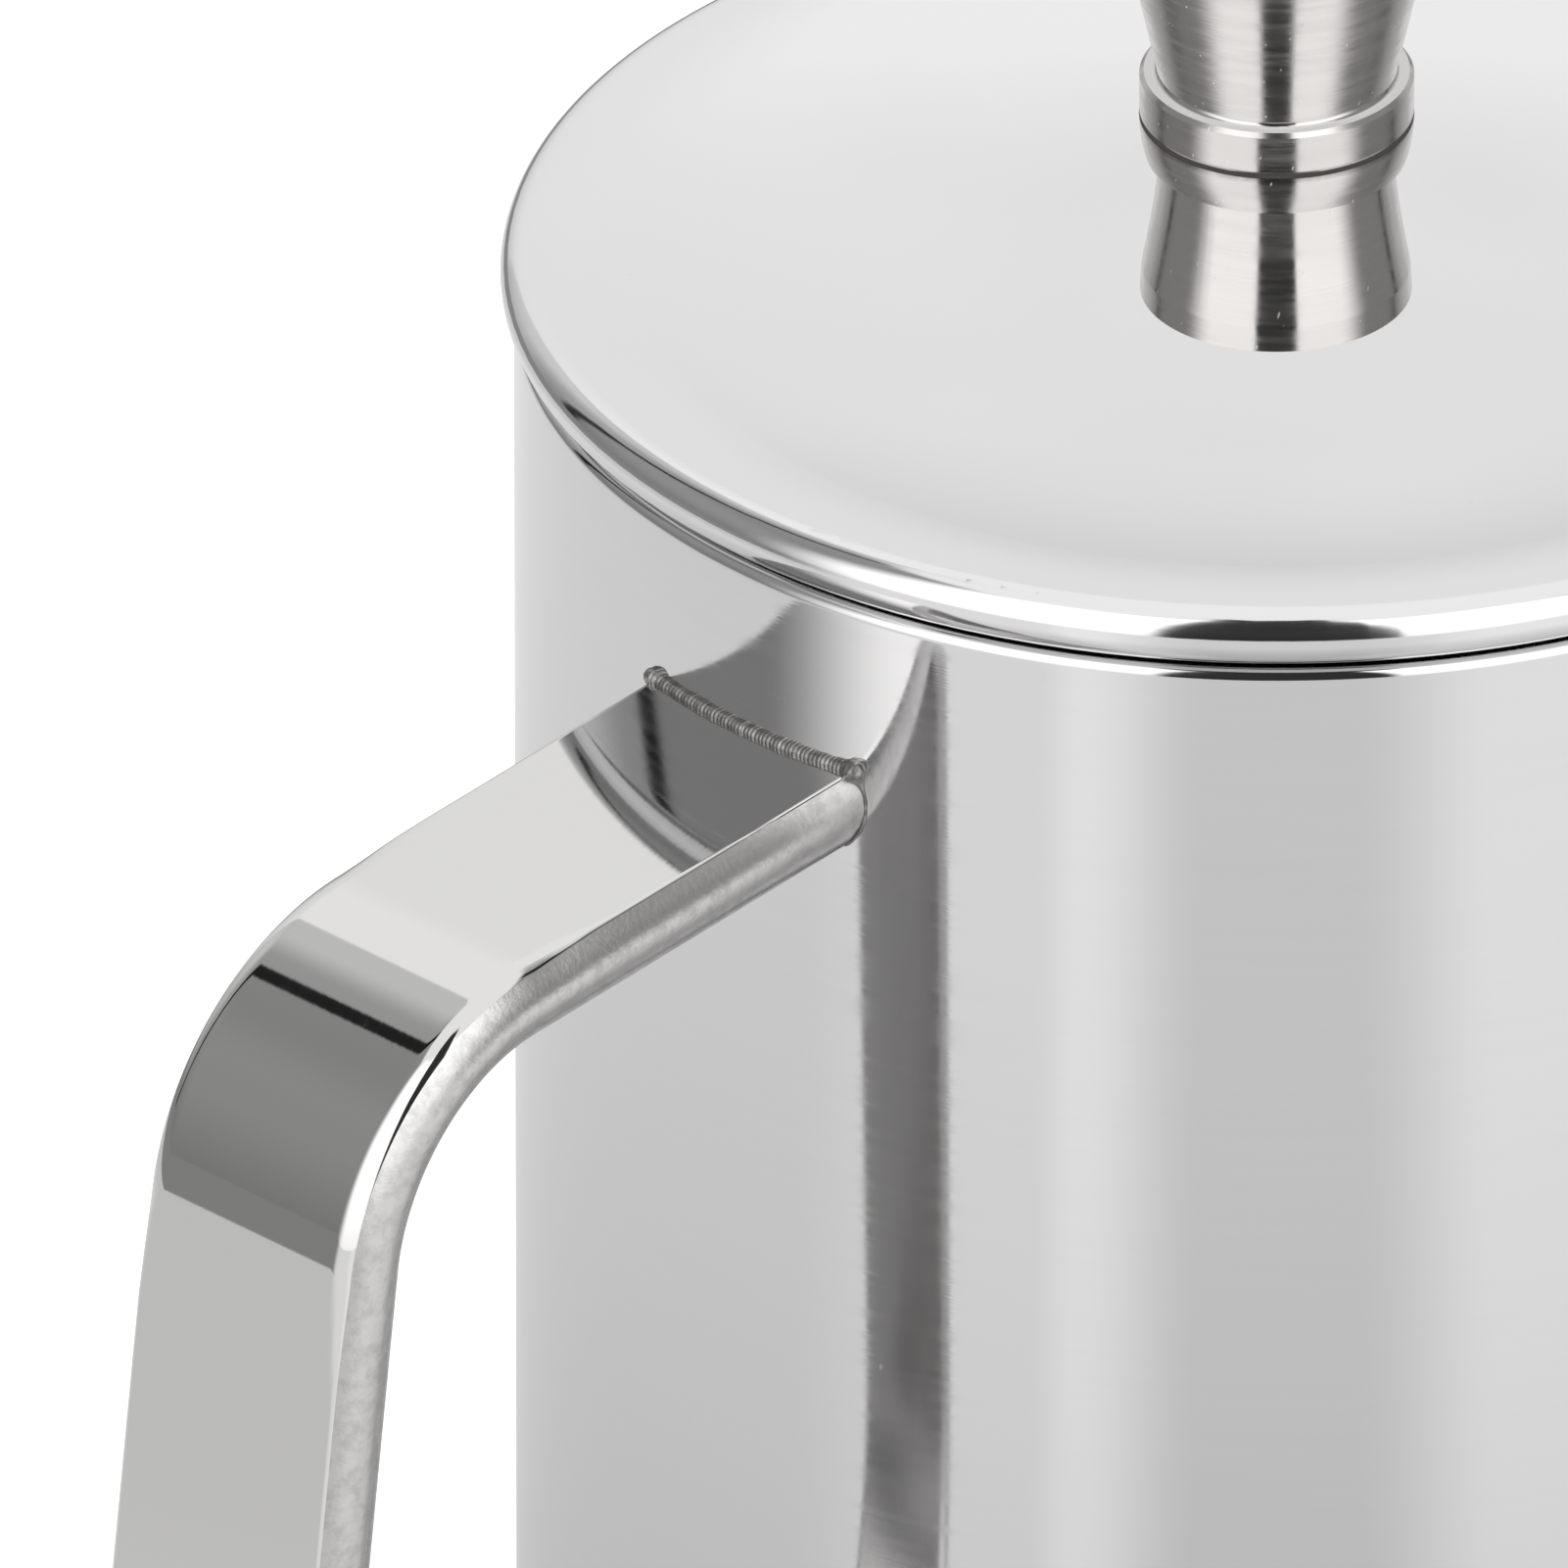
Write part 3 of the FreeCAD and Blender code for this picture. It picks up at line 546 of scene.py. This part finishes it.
def weld_bead(name, replaced, face_z, slope, up):
    """Tube along the joint of strap and pot, thickest along the face, swelling with each ripple.

    At the place (u, v) of the strap's section the joint is at x = -sqrt(R^2 - u^2); the circle
    about it lies between the wall's normal and the section's.
    """
    u, v, normal, along = strap_outline(1400)
    x = -np.sqrt(pot_radius ** 2 - u ** 2)
    z = face_z + up * (math.tan(slope) * (pot_radius + x) - v / math.cos(slope))
    joint = np.stack([x, u, z], -1)
    wall_way = np.stack([x, u, 0 * u], -1) / pot_radius
    strap_way = np.stack([0 * u, normal[:, 0], -up * normal[:, 1]], -1)
    ripple = 2 * math.pi * along / bead_ripple
    wander = np.sin(along * 1900.0) * np.sin(along * 3100.0 + 1.0)
    near_face = 1 / (1 + np.exp(3 * (v - face_edge) / face_edge))
    radius = bead_least + bead_gain * near_face + ripple_height * wander
    radius = radius + ripple_height * near_face * np.abs(np.sin(ripple / 2))
    for corner, swell in corner_swells:
        away = np.hypot(u - corner * strap_half, v)
        radius = radius + swell * np.exp(-(away / face_edge) ** 2)
    turn = np.linspace(0, 2 * math.pi, 14, endpoint=False)[None, :, None]
    lean = 0.1 * np.sin(ripple + 1.3)[:, None, None]
    centre = joint + (wall_way + strap_way) * (bead_stand_off * radius)[:, None]
    ring = np.cos(turn + lean) * wall_way[:, None] + np.sin(turn + lean) * strap_way[:, None]
    points = centre[:, None] + radius[:, None, None] * ring
    faces = grid_faces(len(u), points.shape[1], True, True)
    add_piece(name, points, faces, "pot", weld_steel, replaced)


weld_bead("top_weld_bead", "handle_weld_upper", top_weld[1], top_slope, 1)
weld_bead("low_weld_bead", "handle_weld_lower", low_weld[1], low_slope, -1)

# ---------------------------------------------------------------------------
# Lid: one pressed sheet, a shallow dish with its edge rolled into a bead,
# buffed bright.  The parts that stand in its middle are kept out of its gloss.

lid_steel, tree, shader = new_material("lid_steel", (0.76, 0.752, 0.757), 0.1)
place, x, y, z = object_place(tree)
lines = add_group(tree, turned_lines, Fineness=5000.0, Wander=1.5, Along_Z=0.0)
waves = noise_at(tree, place, 34.0, 1.0)
dots = add_group(tree, nicks, Size=0.001, Stretch=1.0, Share=0.03, Thickness=0.07)
strokes = add_group(tree, nicks, Size=0.0012, Stretch=7.0, Share=0.04, Thickness=0.04)
marks = math_node(tree, "MAXIMUM", dots.outputs["Mask"], strokes.outputs["Mask"])
dull = smooth_step(tree, lines.outputs["Bands"], 0.35, 0.7, 0.085, 0.115)
tree.links.new(math_node(tree, "MULTIPLY_ADD", marks, 0.2, dull), shader.inputs["Roughness"])
tinted(tree, shader, smooth_step(tree, waves, 0.35, 0.65), (0.765, 0.757, 0.762), (0.745, 0.74, 0.745))
height = math_node(tree, "MULTIPLY_ADD", waves, 12.0, lines.outputs["Lines"])
height = math_node(tree, "MULTIPLY_ADD", marks, -1.5, height)
add_bump(tree, shader, height, 0.000006, 0.6)
wear(lid_steel, "lid_shell")
for name in ("ferrule", "knob", "guide_bush", "plunger_rod"):
    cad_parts[name].visible_glossy = False

# ---------------------------------------------------------------------------
# Under the lid: a pan with strainer slots in its skirt, held with a washer
# and a hexagon nut.

liner_steel, tree, shader = polish("liner_steel", (0.66, 0.655, 0.65), 0.18, 0.3, along_r=1.0, bump=0.4)
wear(liner_steel, "lid_liner")
fastener_steel, tree, shader = polish("fastener_steel", (0.6, 0.59, 0.58), 0.2, 0.34, along_r=1.0, bump=0.5)
wear(fastener_steel, "ferrule_washer", "ferrule_nut", "rod_collar")

# ---------------------------------------------------------------------------
# Ferrule and knob: turned from bar, the tool's fine lines left on them, with
# nicks from handling that carry painted glints.  The joint between the two is a
# painted dark line of shade, with patchy painted shade fading out beside it.

turned_color = (0.62, 0.605, 0.59)
turned_steel, tree, shader = new_material("turned_steel", turned_color, 0.25)
place, x, y, z = object_place(tree)
lines = add_group(tree, turned_lines, Fineness=11000.0, Wander=1.2)
strokes = add_group(tree, nicks, Size=0.00017, Stretch=5.0, Share=0.5, Thickness=0.09)
dots = add_group(tree, nicks, Size=0.0002, Stretch=1.3, Share=0.2, Thickness=0.085)
marks = math_node(tree, "MAXIMUM", dots.outputs["Mask"], strokes.outputs["Mask"])
dull = smooth_step(tree, lines.outputs["Bands"], 0.3, 0.7, 0.13, 0.25)
tree.links.new(math_node(tree, "MULTIPLY_ADD", marks, 0.3, dull), shader.inputs["Roughness"])
height = math_node(tree, "MULTIPLY_ADD", marks, -1.5, lines.outputs["Lines"])
add_bump(tree, shader, height, 0.000012, 0.9)
around_axis(tree, shader, 0.9)
joint_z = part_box("ferrule")[1].z
joint_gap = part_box("knob")[0].z - joint_z
# Painted shade: the faces at the joint go near-black, and patchy painted shade fades out to four gaps beside
# it.
off_joint = math_node(tree, "ABSOLUTE", math_node(tree, "SUBTRACT", z, joint_z + joint_gap / 2))
seam = smooth_step(tree, off_joint, joint_gap * 0.6, joint_gap * 0.95, 1.0, 0.0)
joint_shade_patches = noise_at(tree, place, 900.0, 3.0)
joint_shade_patches = math_node(tree, "MULTIPLY", joint_shade_patches, smooth_step(tree, off_joint, joint_gap, joint_gap * 4.0, 0.7, 0.0))
shade = math_node(tree, "MAXIMUM", seam, joint_shade_patches)
# Painted glint: nicks get a near-white base colour on top of their real roughness and dents.
nick_painted_glint = tinted(tree, shader, marks, turned_color, (0.97, 0.96, 0.95))
dark = tinted(tree, shader, shade, turned_color, (0.035, 0.03, 0.026))
tree.links.new(nick_painted_glint.outputs["Result"], dark.inputs["A"])
wear(turned_steel, "knob", "ferrule")

# ---------------------------------------------------------------------------
# Guide bush: a ring turned from black plastic, with a flange, that sits in
# the ferrule.  The rod slides in it.

bush_plastic, tree, shader = new_material("bush_plastic", (0.03, 0.03, 0.032), 0.5, 0.0)
place, x, y, z = object_place(tree)
skin = noise_at(tree, place, 3500.0, 3.0)
tree.links.new(smooth_step(tree, skin, 0.3, 0.7, 0.42, 0.58), shader.inputs["Roughness"])
add_bump(tree, shader, skin, 0.00002, 0.5)
wear(bush_plastic, "guide_bush")

# ---------------------------------------------------------------------------
# Rod: a ground steel bar.  It is threaded at both ends and screwed into the
# knob and into the filter's hub.

rod_steel, tree, shader = polish("rod_steel", (0.66, 0.655, 0.65), 0.12, 0.2, bump=0.3)
wear(rod_steel, "plunger_rod")

# ---------------------------------------------------------------------------
# Filter plates and hub: the plates are stamped from sheet, the hub is turned;
# all are tumbled, so they are evenly satin.

plate_steel, tree, shader = new_material("plate_steel", (0.62, 0.615, 0.605), 0.3)
place, x, y, z = object_place(tree)
tumbled = noise_at(tree, place, 1300.0, 4.0, 0.7)
tree.links.new(smooth_step(tree, tumbled, 0.3, 0.7, 0.24, 0.38), shader.inputs["Roughness"])
strokes = add_group(tree, nicks, Size=0.0008, Stretch=6.0, Share=0.12, Thickness=0.05)
add_bump(tree, shader, math_node(tree, "MULTIPLY_ADD", strokes.outputs["Mask"], -2.0, tumbled), 0.00002, 0.5)
wear(plate_steel, "top_plate", "cross_plate", "cross_hub")

# ---------------------------------------------------------------------------
# Filter: a disc of plain-woven steel wire with its edge turned up, held
# between the two plates.  The gaps between its wires are painted near-black as shade.

wire_pitch = 0.00045
mesh_steel, tree, shader = new_material("mesh_steel", (0.6, 0.595, 0.585), 0.3)
place, x, y, z = object_place(tree)
side_on = math_node(tree, "ADD", y, z)
phases = [math_node(tree, "MULTIPLY", way, math.pi / wire_pitch) for way in (x, side_on)]
waves = [math_node(tree, "SINE", phase) for phase in phases]
over = math_node(tree, "GREATER_THAN", math_node(tree, "MULTIPLY", *waves), 0.0)
rounds = [math_node(tree, "ABSOLUTE", wave) for wave in waves]
first = math_node(tree, "MULTIPLY", over, rounds[0])
second = math_node(tree, "MULTIPLY", math_node(tree, "SUBTRACT", 1.0, over), rounds[1])
woven = math_node(tree, "ADD", first, second)
# Painted shade: the base colour goes near-black in the gaps between the wires.
tinted(tree, shader, smooth_step(tree, woven, 0.15, 0.5), (0.06, 0.058, 0.055), (0.62, 0.615, 0.605))
add_bump(tree, shader, woven, 0.00008, 0.8)
wear(mesh_steel, "filter_mesh")

# ---------------------------------------------------------------------------
# Rim spring: a close coil of steel wire bent into a ring.  It lies round the
# top plate and wipes the beaker's wall.

spring_steel, tree, shader = new_material("spring_steel", (0.64, 0.635, 0.625), 0.18)
place, x, y, z = object_place(tree)
drawn = noise_at(tree, place, 1800.0, 2.0)
tree.links.new(smooth_step(tree, drawn, 0.3, 0.7, 0.14, 0.26), shader.inputs["Roughness"])
add_bump(tree, shader, drawn, 0.00001, 0.5)
spring_low, spring_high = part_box("rim_spring")
coil_outer = (spring_high.z - spring_low.z) / 2
coil_centre = spring_high.x - coil_outer
wire_radius = 0.0003
coil_turns = 340


def coil_ring(steps_a_turn, steps_round):
    """Wire wound about a circle: at the bearing b the wire's middle is turned by turns * b.

    Its middle is at (R + c cos(nb), c sin(nb)) in the plane of the axis and the bearing.
    """
    b = np.linspace(0, 2 * math.pi, coil_turns * steps_a_turn, endpoint=False)
    wound = coil_turns * b
    c = coil_outer - wire_radius
    outwards = np.stack([np.cos(b), np.sin(b), 0 * b], -1)
    upwards = np.array([0.0, 0.0, 1.0])
    middle_z = (spring_low.z + spring_high.z) / 2
    from_middle = np.cos(wound)[:, None] * outwards + np.sin(wound)[:, None] * upwards
    middle = coil_centre * outwards + middle_z * upwards + c * from_middle
    ahead = np.roll(middle, -1, 0) - np.roll(middle, 1, 0)
    ahead = ahead / np.linalg.norm(ahead, axis=1)[:, None]
    aside = np.cross(ahead, from_middle)
    turn = np.linspace(0, 2 * math.pi, steps_round, endpoint=False)[None, :, None]
    ring = np.cos(turn) * from_middle[:, None] + np.sin(turn) * aside[:, None]
    return middle[:, None] + wire_radius * ring


points = coil_ring(14, 6)
faces = grid_faces(*points.shape[:2], True, True)
add_piece("rim_spring_coil", points, faces, "spring_ring", spring_steel, "rim_spring")

# ---------------------------------------------------------------------------
# Studio: a white table under a light world with a dark side towards the camera,
# two bright panels beside it, grey side walls and a white ceiling.  In reflections
# the table glows with painted light: bright pools from the panels, painted shade
# near the pot and darker far sides.

camera_azimuth = math.radians(-46.0)
camera_elevation = math.radians(29.3)
toward = Vector((math.sin(camera_azimuth), -math.cos(camera_azimuth), 0.0))
rightward = Vector((math.cos(camera_azimuth), math.sin(camera_azimuth), 0.0))
half_table = 3.0
gap_angle, gap_tilt = 119.0, 0.05


def band(tree, value, edges, levels, soft):
    """Level of value in steps: levels[0] below edges[0], then levels[1], each step soft[i] wide."""
    result = levels[0]
    for edge, width, before, after in zip(edges, soft, levels, levels[1:]):
        step = smooth_step(tree, value, edge - width / 2, edge + width / 2, 0.0, after - before)
        result = math_node(tree, "ADD", step, result)
    return result


def bearing(tree, direction):
    """Angle in degrees from the camera's side, seen from above, positive to the camera's right."""
    parts = []
    for axis in (toward, rightward):
        dot = tree.nodes.new("ShaderNodeVectorMath")
        dot.operation = "DOT_PRODUCT"
        dot.inputs[1].default_value = axis
        tree.links.new(direction, dot.inputs[0])
        parts.append(dot.outputs["Value"])
    return math_node(tree, "DEGREES", math_node(tree, "ARCTAN2", parts[1], parts[0]))


world = bpy.data.worlds.new("studio")
bpy.context.scene.world = world
world.use_nodes = True
tree = world.node_tree
tree.nodes.clear()
place = tree.nodes.new("ShaderNodeTexCoord")
split = tree.nodes.new("ShaderNodeSeparateXYZ")
tree.links.new(place.outputs["Generated"], split.inputs[0])
height = math_node(tree, "DEGREES", math_node(tree, "ARCSINE", split.outputs[2]))
angle = math_node(tree, "ABSOLUTE", bearing(tree, place.outputs["Generated"]))
walls = band(tree, angle, (17, 69, gap_angle, 132, 149.5), (0.04, 1.8, 0.35, 0.45, 0.75, 0.97),
             (3, 26, 2, 16, 2))
rise = smooth_step(tree, height, -10.0, 25.0, 0.7, 1.0)
rise = math_node(tree, "MULTIPLY", rise, smooth_step(tree, height, 25.0, 60.0, 1.0, 1.25))
walls = math_node(tree, "MULTIPLY", walls, rise)
back_corner = smooth_step(tree, angle, 148.0, 151.0, 0.22, 0.0)
back_corner = math_node(tree, "MULTIPLY", back_corner, smooth_step(tree, height, 30.0, 46.0))
walls = math_node(tree, "MULTIPLY", walls, math_node(tree, "SUBTRACT", 1.0, back_corner))
from_gap = math_node(tree, "RADIANS", math_node(tree, "SUBTRACT", angle, gap_angle))
level_run = math_node(tree, "COSINE", math_node(tree, "RADIANS", height))
off_gap = math_node(tree, "MULTIPLY", math_node(tree, "SINE", from_gap), level_run)
off_gap = math_node(tree, "ABSOLUTE", math_node(tree, "MULTIPLY_ADD", split.outputs[2], gap_tilt, off_gap))
gap = smooth_step(tree, off_gap, 0.030, 0.042, 0.06, 1.0)
walls = math_node(tree, "MULTIPLY", walls, gap)
ceiling_start = band(tree, angle, (18, 60, 149), (78.0, 66.0, 62.0, 40.0), (12, 12, 8))
above = math_node(tree, "SUBTRACT", height, ceiling_start)
ceiling = smooth_step(tree, above, 0.0, 4.0)
mix = tree.nodes.new("ShaderNodeMix")
mix.data_type = "FLOAT"
tree.links.new(ceiling, mix.inputs["Factor"])
tree.links.new(walls, mix.inputs["A"])
mix.inputs["B"].default_value = 1.1
studio_level = mix.outputs["Result"]
path = tree.nodes.new("ShaderNodeLightPath")
seen = tree.nodes.new("ShaderNodeMix")
seen.data_type = "FLOAT"
tree.links.new(path.outputs["Is Camera Ray"], seen.inputs["Factor"])
tree.links.new(studio_level, seen.inputs["A"])
seen.inputs["B"].default_value = 1.0
background = socket_value(tree.nodes.new("ShaderNodeBackground"), Color=(1, 1, 1, 1))
tree.links.new(seen.outputs["Result"], background.inputs["Strength"])
output = tree.nodes.new("ShaderNodeOutputWorld")
tree.links.new(background.outputs[0], output.inputs["Surface"])

table_mesh = bpy.data.meshes.new("table")
corners = [(-half_table, -half_table, 0), (half_table, -half_table, 0),
           (half_table, half_table, 0), (-half_table, half_table, 0)]
table_mesh.from_pydata(corners, [], [(0, 1, 2, 3)])
table = bpy.data.objects.new("table", table_mesh)
bpy.context.scene.collection.objects.link(table)
white, tree, shader = new_material("table_white", (0.85, 0.85, 0.85), 0.6, 0.0)
path = tree.nodes.new("ShaderNodeLightPath")
glossy = math_node(tree, "MAXIMUM", path.outputs["Is Glossy Ray"], path.outputs["Is Transmission Ray"])
place = tree.nodes.new("ShaderNodeTexCoord")
angle = bearing(tree, place.outputs["Object"])
length = tree.nodes.new("ShaderNodeVectorMath")
length.operation = "LENGTH"
tree.links.new(place.outputs["Object"], length.inputs[0])
distance = length.outputs["Value"]
# Seen in reflections the table only glows, with painted light by bearing: brighter pools under the panels and
# a darker band towards the camera.
painted_table_light = band(tree, angle, (-62, -31, -18.5, 21, 85), (0.84, 0.94, 1.06, 0.78, 1.04, 0.84),
                   (20, 6, 17, 21, 30))
# Painted shade: the glow dims near the pot.
painted_pot_shade = smooth_step(tree, distance, 0.0, 0.36, 0.65, 1.02)
painted_table_light = math_node(tree, "MULTIPLY", painted_table_light, painted_pot_shade)
# Painted shade: the glow dims at the table's far sides.
side = smooth_step(tree, math_node(tree, "ABSOLUTE", angle), 60.0, 75.0)
far = band(tree, distance, (0.4, 0.69), (0.0, 0.15, 0.66), (0.16, 0.01))
far = math_node(tree, "SUBTRACT", 1.0, math_node(tree, "MULTIPLY", side, far))
painted_table_light = math_node(tree, "MULTIPLY", painted_table_light, far)
glow = socket_value(tree.nodes.new("ShaderNodeEmission"), Color=(1, 1, 1, 1))
tree.links.new(painted_table_light, glow.inputs["Strength"])
join = tree.nodes.new("ShaderNodeMixShader")
tree.links.new(glossy, join.inputs[0])
tree.links.new(glow.outputs[0], join.inputs[2])
lift = socket_value(tree.nodes.new("ShaderNodeEmission"), Color=(1, 1, 1, 1))
tree.links.new(math_node(tree, "MULTIPLY", path.outputs["Is Camera Ray"], 0.5), lift.inputs["Strength"])
both = tree.nodes.new("ShaderNodeAddShader")
tree.links.new(shader.outputs[0], both.inputs[0])
tree.links.new(lift.outputs[0], both.inputs[1])
tree.links.new(both.outputs[0], join.inputs[1])
tree.links.new(join.outputs[0], tree.nodes["Material Output"].inputs["Surface"])
table_mesh.materials.append(white)

# ---------------------------------------------------------------------------
# Camera: a long lens that stands well back and looks down on the lid from the
# handle's side.

camera_distance = 5.0
frame_width = 0.10943
sensor_width = 36.0
shift_left, shift_down = 0.0342, 0.0431
lid_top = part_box("lid_shell")[1].z
look_at = rightward * -shift_left + Vector((0.0, 0.0, lid_top - shift_down))
view_direction = toward * math.cos(camera_elevation) + Vector((0.0, 0.0, math.sin(camera_elevation)))
lens = bpy.data.cameras.new("camera")
lens.sensor_width = sensor_width
lens.lens = sensor_width * camera_distance / frame_width
lens.clip_start = 0.1
lens.clip_end = 100.0
camera = bpy.data.objects.new("camera", lens)
bpy.context.scene.collection.objects.link(camera)
camera.location = look_at + view_direction * camera_distance
camera.rotation_euler = view_direction.to_track_quat("Z", "Y").to_euler()
bpy.context.scene.camera = camera
bpy.context.scene.view_settings.view_transform = "Standard"
